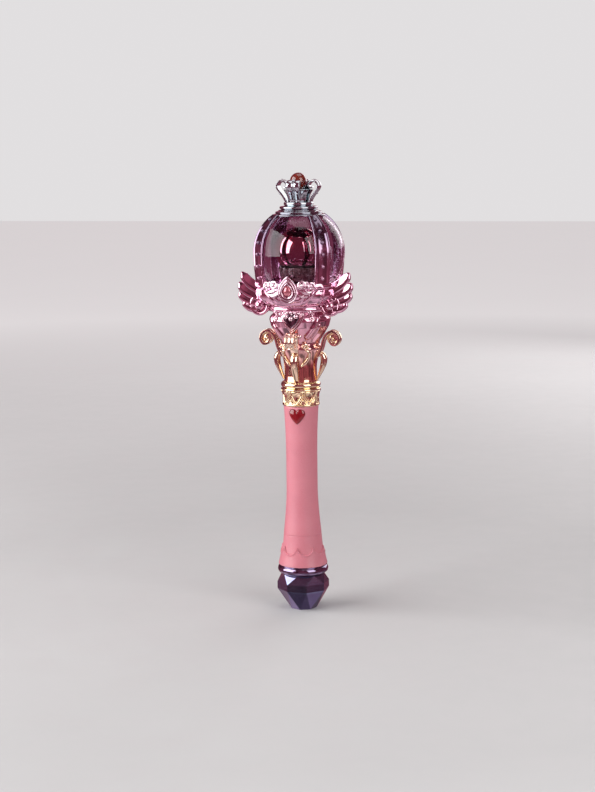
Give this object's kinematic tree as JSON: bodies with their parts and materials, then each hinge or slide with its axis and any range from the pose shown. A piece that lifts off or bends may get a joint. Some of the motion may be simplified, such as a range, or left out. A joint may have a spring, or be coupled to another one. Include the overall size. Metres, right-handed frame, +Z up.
{
  "type": "magic wand",
  "caption": "Toy magic wand with a crowned clear globe, plated scrollwork head with wings, a slim pink grip with a heart button, and a faceted gem pommel.",
  "frame": {"origin": "centre of the flat end of the gem pommel, which the wand stands on", "axes": "+Z up along the wand from the gem to the crown, the front with the heart button faces -Y, +X to the viewer's right"},
  "size_m": [0.089, 0.072, 0.33],
  "materials": {
    "amber": "glossy translucent amber-red",
    "dark_chrome": "vacuum-plated, dark silver with a violet tint",
    "rib_chrome": "vacuum-plated, fading from dark silver to lilac",
    "clear": "clear plastic with a faint lilac tint, polished",
    "red_mirror": "vacuum-plated red, mirror-like",
    "smoky": "smoky brown translucent plastic, polished",
    "lilac_chrome": "vacuum-plated, lilac pink fading to champagne gold",
    "gold_chrome": "vacuum-plated champagne gold",
    "rose_jewel": "polished rose cabochon",
    "dark_mirror": "plated dark mirror",
    "pink_plastic": "satin, fine moulded",
    "heart_red": "glossy",
    "ring_plum": "vacuum-plated dark plum",
    "gem_plum": "vacuum-plated indigo plum, faceted",
    "board": "solder-masked laminate",
    "lamp_clear": "water-clear",
    "lead": "insulated wire",
    "black_plastic": "moulded",
    "grey_plastic": "moulded",
    "cell_jacket": "printed film over steel, no marks",
    "contact_steel": "nickel-plated"
  },
  "bodies": {
    "root": {"finial_ball": "amber", "crown_cup": "dark_chrome", "crown_prong_front": "dark_chrome", "crown_prong_back": "dark_chrome", "crown_prong_left": "dark_chrome", "crown_prong_right": "dark_chrome", "crown_collar": "dark_chrome", "globe_front": "clear", "globe_back": "clear", "globe_rib_front_left": "rib_chrome", "globe_rib_front_right": "rib_chrome", "globe_rib_back_left": "rib_chrome", "globe_rib_back_right": "rib_chrome", "light_ball": "red_mirror", "light_cup": "smoky", "globe_floor": "lilac_chrome", "lamp_board": "board", "lamps": "lamp_clear", "lamp_leads": "lead", "head_casing_front": "lilac_chrome", "head_casing_back": "lilac_chrome", "bowl_trim_front": "lilac_chrome", "bowl_trim_back": "lilac_chrome", "crest_front": "lilac_chrome", "crest_back": "lilac_chrome", "crest_jewel_front": "rose_jewel", "crest_jewel_back": "rose_jewel", "wing_left": "lilac_chrome", "wing_right": "lilac_chrome", "cameo_frame_front": "lilac_chrome", "cameo_frame_back": "lilac_chrome", "cameo_mirror_front": "dark_mirror", "cameo_mirror_back": "dark_mirror", "cameo_pearls_front": "lilac_chrome", "cameo_pearls_back": "lilac_chrome", "lyre_front": "gold_chrome", "lyre_back": "gold_chrome", "scroll_bracket_front": "gold_chrome", "scroll_bracket_back": "gold_chrome", "scroll_bracket_left": "gold_chrome", "scroll_bracket_right": "gold_chrome", "collar_ring": "gold_chrome", "neck_collar": "gold_chrome", "handle_front_shell": "pink_plastic", "handle_back_shell": "pink_plastic", "switch_body": "black_plastic", "circuit_board": "board", "battery_tray": "grey_plastic", "battery_cells": "cell_jacket", "battery_contacts": "contact_steel", "battery_leads": "lead", "case_screws": "contact_steel", "handle_cuff": "pink_plastic", "pommel_ring": "ring_plum", "pommel_gem": "gem_plum"},
    "heart_button": {"heart_button": "heart_red", "switch_plunger": "black_plastic"},
    "battery_door": {"battery_door": "pink_plastic"},
    "battery_door_screw": {"battery_door_screw": "contact_steel"}
  },
  "joints": [
    {"name": "heart_press", "type": "slide", "parent": "root", "child": "heart_button", "axis": [0, 1, 0], "range_m": [0, 0.0006], "stiffness_N_per_m": 1200, "springref_m": -0.0004},
    {"name": "door_lift", "type": "slide", "parent": "root", "child": "battery_door", "axis": [0, 1, 0], "range_m": [0, 0.03]},
    {"name": "door_screw_turn", "type": "hinge", "parent": "battery_door", "child": "battery_door_screw", "pos_m": [0, 0.009, 0.1174], "axis": [0, 1, 0], "continuous": true}
  ]
}
